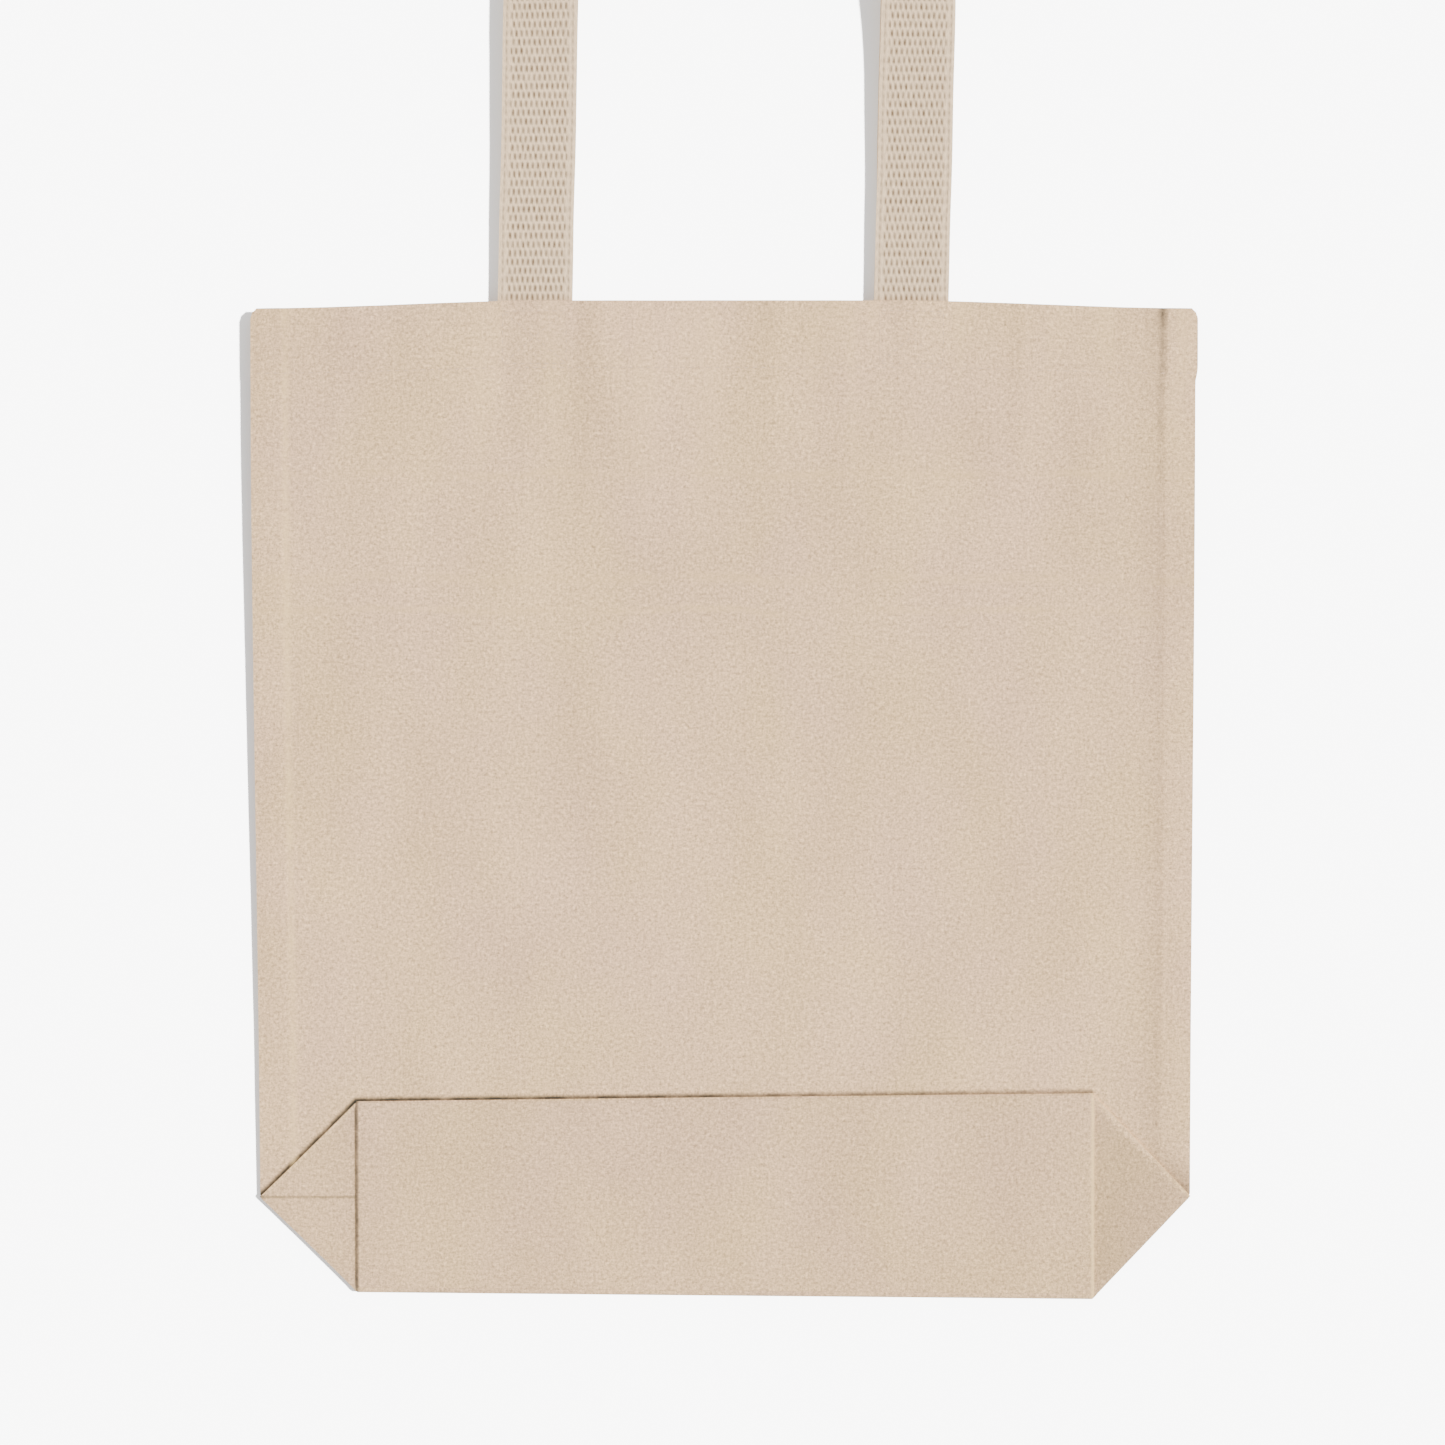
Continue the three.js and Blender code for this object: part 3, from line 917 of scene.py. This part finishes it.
class BAG_OT_seams(bpy.types.Operator):
    """Make the side seam allowances with their overlocked edges, and the folded corner ears"""

    bl_idname = "tote_bag.seams"
    bl_label = "Seams and Ears"

    def execute(self, context):
        for side, sign in SIDES.items():
            self.make_ear(side, sign)
            self.make_allowance(side, sign)
            self.make_corner_seam(side, sign)
        return {"FINISHED"}

    def make_ear(self, side, sign):
        left, right = sorted((sign * (WALL_X - HALF_DEPTH), sign * (WALL_X - 1 * MM)))
        bm = flat_blank(left, right, BASE_DEPTH, sizes().mesh_step)
        apex = (sign * (WALL_X - HALF_DEPTH), HALF_DEPTH, 0)
        bisect(bm, apex, Vector((-sign, 1, 0)).normalized(), clear=True)
        bisect(bm, apex, Vector((-sign, -1, 0)).normalized(), clear=True)
        add_cloth_map(bm, EAR_V)
        for vert in bm.verts:
            vert.co = ear_shape(vert.co.x, vert.co.y)
        thicken(bm, EAR_THICKNESS)
        mark_creases(bm)
        piece = finish_piece(f"corner_ear_{side}", bm, "undyed_canvas")
        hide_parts(f"{side}_corner_ear")
        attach(piece, "base")

    def make_allowance(self, side, sign):
        outer = HALF_WIDTH - ALLOWANCE_INSET
        left, right = sorted((sign * outer, sign * (outer - ALLOWANCE_WIDTH)))
        length = BAG_HEIGHT - HEM_DEPTH - HALF_DEPTH - 3 * MM
        bm = flat_blank(left, right, length, sizes().mesh_step)
        piece = shape_cloth(f"seam_allowance_{side}", bm, allowance_shape, ALLOWANCE_V)
        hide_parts(f"{side}_side_seam_allowance")
        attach(piece, f"{side}_front_gusset")
        inner = sign * (outer - ALLOWANCE_WIDTH)
        rows = stitched_line(inner, 0, inner, length, OVERLOCK_PITCH, OVERLOCK_SLANT)
        bm = bmesh.new()
        for x, y, angle in rows:
            at = allowance_shape(x, y) + Vector((0, 0, sizes().cloth / 2))
            add_stitch(bm, at, angle, OVERLOCK_LENGTH)
            add_stitch(bm, at - Vector((0, 0, sizes().cloth)), -angle, OVERLOCK_LENGTH)
        thread = finish_stitches(f"overlock_thread_{side}", bm)
        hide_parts(f"{side}_side_overlock_thread")
        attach(thread, f"{side}_front_gusset")

    def make_corner_seam(self, side, sign):
        x = sign * (WALL_X - 0.2 * MM)
        bm = bmesh.new()
        rows = stitched_line(x, 2 * MM, x, BASE_DEPTH - 2 * MM, CORNER_SEAM_PITCH)
        for _, y, angle in rows:
            z = base_surface(x + sign * 0.3 * MM, y) + sizes().cloth / 2 - 0.22 * MM
            add_stitch(bm, place_point(x, y, z, "base"), angle, CORNER_SEAM_LENGTH)
        piece = finish_stitches(f"corner_seam_thread_{side}", bm)
        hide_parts(f"{side}_corner_seam_thread")
        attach(piece, "base")


# ---- Stitches ----

THREAD_RADIUS = 0.24 * MM
HEM_STITCH_GAP = 0.9 * MM
CROSS_STITCH_GAP = 0.6 * MM
CROSS_INSET = 2.2 * MM
CROSS_LOW, CROSS_HIGH = 24.5 * MM, 4 * MM


def stitched_line(x0, y0, x1, y1, pitch, slant=0.0):
    """Middle and direction of each stitch on a straight row."""
    run = math.hypot(x1 - x0, y1 - y0)
    count = max(1, round(run / pitch))
    angle = math.atan2(y1 - y0, x1 - x0) + slant
    places = ((k + 0.5) / count for k in range(count))
    return [(x0 + (x1 - x0) * t, y0 + (y1 - y0) * t, angle) for t in places]


def add_stitch(bm, at, angle, length):
    turn = Matrix.Translation(at) @ Matrix.Rotation(angle, 4, "Z")
    size = Matrix.Diagonal((length / 2, THREAD_RADIUS, THREAD_RADIUS * 0.8, 1))
    bmesh.ops.create_uvsphere(bm, u_segments=6, v_segments=4, radius=1, matrix=turn @ size)


def finish_stitches(name, bm):
    for face in bm.faces:
        face.smooth = True
    bmesh.ops.recalc_face_normals(bm, faces=bm.faces[:])
    return finish_piece(name, bm, "sewing_thread")


def on_front(x, y):
    return place_point(x, y, front_height(x, y) + sizes().cloth / 2 - 0.02 * MM, "front")


def on_back_inside(x, y):
    return place_point(x, y, BACK_HEM_Z + sizes().cloth / 2, "back")


def on_back_outside(x, y):
    return place_point(x, y, 0.06 * MM, "back")


def cross_lines(centre_x):
    """The sides and diagonals of the boxed cross that holds a handle end."""
    half = STRAP_WIDTH / 2 - CROSS_INSET
    left, right = centre_x - half, centre_x + half
    low, high = BAG_HEIGHT - CROSS_LOW, BAG_HEIGHT - CROSS_HIGH
    return (
        (left, low, right, low), (right, low, right, high), (right, high, left, high),
        (left, high, left, low), (left, low, right, high), (left, high, right, low),
    )


class BAG_OT_stitching(bpy.types.Operator):
    """Sew the hem and the boxed crosses that hold the handle ends"""

    bl_idname = "tote_bag.stitching"
    bl_label = "Stitching"

    def execute(self, context):
        for side, sign in SIDES.items():
            self.hem_row("front", side, sign, (on_front,))
            self.hem_row("back", side, sign, (on_back_inside, on_back_outside))
            self.cross("front", side, sign, (on_front,))
            self.cross("back", side, sign, (on_back_inside_strap, on_back_outside))
        return {"FINISHED"}

    def hem_row(self, panel, side, sign, surfaces):
        y = BAG_HEIGHT - HEM_DEPTH + 2 * MM
        start, end = sorted((sign * 0.5 * MM, sign * (HALF_WIDTH - 1.5 * MM)))
        bm = bmesh.new()
        pitch = sizes().stitch_length + HEM_STITCH_GAP
        for x, at_y, angle in stitched_line(start, y, end, y, pitch):
            for surface in surfaces:
                add_stitch(bm, surface(x, at_y), angle, sizes().stitch_length)
        piece = finish_stitches(f"{panel}_hem_stitches_{side}", bm)
        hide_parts(f"{panel}_hem_stitching")
        z = FRONT_MOUTH_Z if panel == "front" else BACK_Z
        start, end = wall_line(sign, z)
        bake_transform(piece)

    def cross(self, panel, side, sign, surfaces):
        bm = bmesh.new()
        for line in cross_lines(sign * STRAP_X):
            for x, y, angle in stitched_line(*line, sizes().stitch_length + CROSS_STITCH_GAP):
                for surface in surfaces:
                    add_stitch(bm, surface(x, y), angle, sizes().stitch_length)
        piece = finish_stitches(f"{panel}_cross_stitches_{side}", bm)
        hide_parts(f"{panel}_{side}_cross_stitch")
        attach(piece, panel)


# ---- Handles ----

HANDLE_START = 2 * MM
TAB_LENGTH = 25 * MM
FRONT_LEG = 150 * MM
BACK_LEG = 142 * MM
ARCH_TILT = math.radians(72)
LEG_RISE_RUN = 150 * MM
RIB_DEPTH = 0.24 * MM
EDGE_THINNING = 0.30


def on_back_inside_strap(x, y):
    top = BACK_END_LOW[2] + 0.15 * MM + sizes().webbing
    return place_point(x, y, top, "back")


def rib_gap(u, v):
    """1 in the middle of a gap between two ribs of the weave, 0 on the ribs, plus a dashed line
    near each selvage; it sinks these and paints shade into them.
    """
    rows, columns = sizes().rib_rows, sizes().rib_columns
    row = math.floor(v / rows)
    along = v / rows - row - 0.5
    jitter = 0.07 * noise.noise(Vector((u * 900, v * 500, 2.0)))
    across = u / columns + 0.5 * (row % 2) + jitter
    across -= math.floor(across) + 0.5
    edge = STRAP_WIDTH / 2 - abs(u)
    gap = 1.2 * math.exp(-((across / 0.22) ** 2) - (along / 0.40) ** 4)
    gap *= 0.95 + 0.3 * noise.noise(Vector((u * 300, v * 300, 9.0)))
    gap *= ramp(edge, 2.7 * MM, 3.6 * MM)
    border = math.exp(-(((edge - 1.7 * MM) / (0.4 * MM)) ** 2) - (along / 0.42) ** 2)
    return max(0.0, min(1.0, gap + 0.75 * border))


def loop_station(s, leg, start_z, rise, lead):
    """Centre, outward direction and tilt of the webbing, s along the loop."""
    arch = math.pi * STRAP_X
    total = 2 * leg + arch
    from_root = min(s, total - s)
    turn = min(math.pi, max(0.0, (s - leg) / STRAP_X))
    outward = Vector((-math.cos(turn), math.sin(turn), 0))
    y = MOUTH_Y + HANDLE_START + min(leg, from_root)
    tilt = ARCH_TILT * smooth((from_root - leg + lead) / (lead + arch / 2))
    z = start_z + rise * smooth(from_root / LEG_RISE_RUN)
    z += STRAP_WIDTH / 2 * math.sin(tilt)
    centre = outward * STRAP_X + Vector((0, y, z))
    return centre, outward, tilt


def webbing_point(u, s, leg, start_z, rise, lead, end_slope):
    """Place and surface direction of a point on the webbing, s from the sewn end."""
    lead_in = TAB_LENGTH + HANDLE_START
    total = 2 * leg + math.pi * STRAP_X
    on_loop = s - lead_in
    along = min(total, max(0.0, on_loop))
    centre, outward, tilt = loop_station(along, leg, start_z, rise, lead)
    before = max(0.0, -on_loop, on_loop - total)
    centre = centre + Vector((0, -before, -max(0.0, before - HANDLE_START) * end_slope))
    side = outward * math.cos(tilt) - Vector((0, 0, math.sin(tilt)))
    up = outward * math.sin(tilt) + Vector((0, 0, math.cos(tilt)))
    point = centre + side * u
    beyond = max(0.0, point.y - MOUTH_Y)
    sway = noise.noise(Vector((on_loop * 22, leg * 40, 3.0))) * ramp(beyond, 0, 40 * MM)
    point.x += sizes().handle_lean * beyond + 0.5 * MM * sway
    wave = noise.noise(Vector((point.x * 30, on_loop * 26, 6.0)))
    point.z += 0.35 * MM * wave * ramp(beyond, 0, 30 * MM)
    return point, up


def webbing_length(leg):
    """The whole strap, with both sewn ends."""
    return 2 * (TAB_LENGTH + HANDLE_START + leg) + math.pi * STRAP_X


def make_webbing(name, leg, start_z, rise, lead, end_slope):
    """One length of webbing from one sewn end, round the loop, to the other."""
    length = webbing_length(leg)
    bm = bmesh.new()
    columns = round(STRAP_WIDTH / (sizes().rib_columns / 4))
    rows = round(length / (sizes().rib_rows / 4))
    matrix = Matrix.Translation((0, length / 2, 0))
    matrix = matrix @ Matrix.Diagonal((STRAP_WIDTH / 2, length / 2, 1, 1))
    bmesh.ops.create_grid(bm, x_segments=columns, y_segments=rows, size=1, matrix=matrix)
    add_cloth_map(bm, 0.0)
    gap_layer = bm.verts.layers.float.new("rib_gap")
    half = {}
    for vert in bm.verts:
        u, s = vert.co.x, vert.co.y
        gap = rib_gap(u, s)
        vert[gap_layer] = gap
        edge = STRAP_WIDTH / 2 - abs(u)
        thin = EDGE_THINNING * (1 - ramp(edge, 0, 1.2 * MM))
        depth = sizes().webbing / 2 * (1 - thin) - RIB_DEPTH * gap
        point, up = webbing_point(u, s, leg, start_z, rise, lead, end_slope)
        vert.co = point + up * depth
        half[vert] = up * (2 * depth)
    lower = bmesh.ops.duplicate(bm, geom=bm.verts[:] + bm.edges[:] + bm.faces[:])
    for vert, shift in half.items():
        lower["vert_map"][vert].co -= shift
    below = [item for item in lower["geom"] if isinstance(item, bmesh.types.BMFace)]
    bmesh.ops.reverse_faces(bm, faces=below)
    rims = [edge for edge in bm.edges if edge.is_boundary]
    bmesh.ops.bridge_loops(bm, edges=rims)
    bmesh.ops.recalc_face_normals(bm, faces=bm.faces[:])
    mark_creases(bm, 80)
    return finish_piece(name, bm, "ribbed_webbing")


class BAG_OT_handles(bpy.types.Operator):
    """Make the two webbing handles, from sewn end to sewn end"""

    bl_idname = "tote_bag.handles"
    bl_label = "Handles"

    def execute(self, context):
        front_z = FRONT_END_HIGH[2] - 0.8 * MM
        back_z = (BACK_END_LOW[2] + BACK_END_HIGH[2]) / 2
        self.make_handle("front", FRONT_LEG, front_z, 3.2 * MM, 60 * MM, FRONT_SLOPE)
        self.make_handle("back", BACK_LEG, back_z, 2.2 * MM, 36 * MM, 0.0)
        return {"FINISHED"}

    def make_handle(self, panel, leg, z, rise, lead, end_slope):
        piece = make_webbing(f"{panel}_webbing_handle", leg, z, rise, lead, end_slope)
        ends = [f"{panel}_{side}_handle_end" for side in SIDES]
        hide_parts(f"{panel}_handle", *ends)
        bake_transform(piece)


# ---- Stage ----

VIEW_WIDTH = 583.2 * MM
VIEW_CENTRE_Y = 232.3 * MM
VIEW_CENTRE_X = -0.2 * MM
CLOTH_TOP = 6 * MM
LENS_MM = 85
SENSOR_MM = 36
FLOOR_HALF_SIZE = 40
FLOOR_Z = -0.3 * MM
WARM_WHITE = (1.0, 0.96, 0.885)
KEY_STRENGTH = 2.95
FLOOR_STRENGTH = 30
SKY_STRENGTH = 1.5
SUN_SOFTNESS = math.radians(3)
SUN_TURN = (math.radians(-3), math.radians(35), 0)


class BAG_OT_stage(bpy.types.Operator):
    """Set the pale floor, the soft studio light and the camera that looks straight down"""

    bl_idname = "tote_bag.stage"
    bl_label = "Stage"

    def execute(self, context):
        floor = self.make_floor()
        self.make_light(floor)
        self.make_camera(context)
        return {"FINISHED"}

    def make_floor(self):
        bm = bmesh.new()
        bmesh.ops.create_grid(bm, x_segments=8, y_segments=8, size=FLOOR_HALF_SIZE)
        for vert in bm.verts:
            vert.co.z = FLOOR_Z
        mesh = bpy.data.meshes.new("floor")
        bm.to_mesh(mesh)
        bm.free()
        mesh.materials.append(shared_material("pale_floor"))
        floor = bpy.data.objects.new("floor", mesh)
        bpy.context.collection.objects.link(floor)
        floor.visible_diffuse = False
        return floor

    def make_light(self, floor):
        self.add_sun("key_light", KEY_STRENGTH)
        fill = self.add_sun("floor_light", FLOOR_STRENGTH)
        only_floor = bpy.data.collections.new("floor_light_reach")
        only_floor.objects.link(floor)
        fill.light_linking.receiver_collection = only_floor
        world = bpy.data.worlds.new("studio")
        world.use_nodes = True
        sky = world.node_tree.nodes["Background"]
        sky.inputs["Color"].default_value = (*WARM_WHITE, 1)
        sky.inputs["Strength"].default_value = SKY_STRENGTH
        bpy.context.scene.world = world

    def add_sun(self, name, strength):
        """A soft sun from the right."""
        data = bpy.data.lights.new(name, "SUN")
        data.energy = strength
        data.angle = SUN_SOFTNESS
        data.color = WARM_WHITE
        sun = bpy.data.objects.new(name, data)
        sun.rotation_euler = SUN_TURN
        bpy.context.collection.objects.link(sun)
        return sun

    def make_camera(self, context):
        data = bpy.data.cameras.new("camera")
        data.lens = LENS_MM
        data.sensor_width = SENSOR_MM
        data.clip_start = 0.01
        camera = bpy.data.objects.new("camera", data)
        height = VIEW_WIDTH * LENS_MM / SENSOR_MM + CLOTH_TOP
        camera.location = (VIEW_CENTRE_X, LOW_Y + VIEW_CENTRE_Y, height)
        bpy.context.collection.objects.link(camera)
        context.scene.camera = camera


# ---- Sidebar and registration ----

class BAG_PT_panel(bpy.types.Panel):
    """Sizes, colours and building steps of the tote bag"""

    bl_idname = "BAG_PT_panel"
    bl_label = "Canvas Tote Bag"
    bl_space_type = "VIEW_3D"
    bl_region_type = "UI"
    bl_category = "Tote Bag"

    def draw(self, context):
        for group in (context.scene.tote_bag_sizes, context.scene.tote_bag_colours):
            for key in group.bl_rna.properties.keys():
                if key not in {"rna_type", "name"}:
                    self.layout.prop(group, key)
        for step in STEPS:
            self.layout.operator(step.bl_idname)


STEPS = (BAG_OT_stage, BAG_OT_body_cloth, BAG_OT_seams, BAG_OT_handles, BAG_OT_stitching)
CLASSES = (ToteBagSizes, ToteBagColours, *STEPS, BAG_PT_panel)


def register():
    for cls in CLASSES:
        bpy.utils.register_class(cls)
    bpy.types.Scene.tote_bag_sizes = PointerProperty(type=ToteBagSizes)
    bpy.types.Scene.tote_bag_colours = PointerProperty(type=ToteBagColours)


def unregister():
    del bpy.types.Scene.tote_bag_colours
    del bpy.types.Scene.tote_bag_sizes
    for cls in reversed(CLASSES):
        bpy.utils.unregister_class(cls)


def main():
    register()
    bpy.ops.tote_bag.stage()
    bpy.ops.tote_bag.body_cloth()
    bpy.ops.tote_bag.seams()
    bpy.ops.tote_bag.handles()
    bpy.ops.tote_bag.stitching()


if __name__ == "__main__":
    main()
